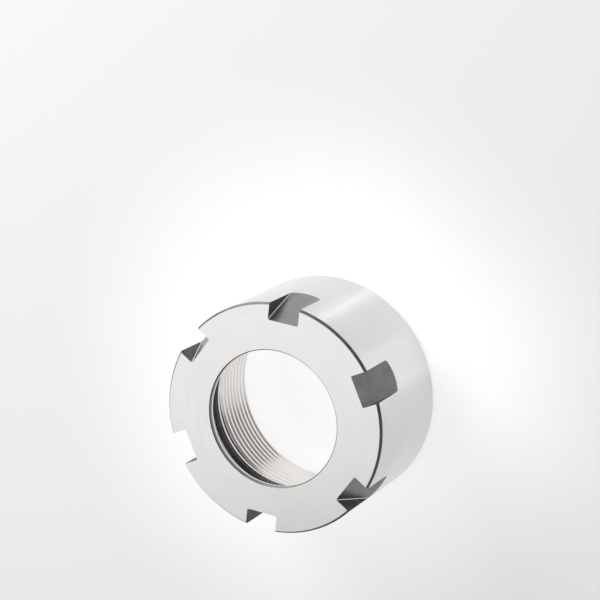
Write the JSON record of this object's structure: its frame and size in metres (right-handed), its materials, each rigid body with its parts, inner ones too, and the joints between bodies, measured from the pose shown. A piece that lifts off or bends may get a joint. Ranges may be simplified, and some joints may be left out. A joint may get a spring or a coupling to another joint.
{
  "type": "collet nut",
  "caption": "Slotted clamping nut for collets: a short steel ring with a plain opening, an inner conical seat, a fine internal thread and sloping spanner slots round its front rim.",
  "frame": {"origin": "centre of the rear face, which the nut stands on and from which it is screwed on", "axes": "+Z along the nut's axis from the threaded rear end to the front face with the plain opening; +Y through the middle of a spanner slot, which is also the way the extraction lip is turned off centre"},
  "size_m": [0.05, 0.05, 0.0275],
  "materials": {
    "ground_steel": "hardened and ground, bright"
  },
  "bodies": {
    "root": {"nut_body": "ground_steel"}
  },
  "joints": []
}
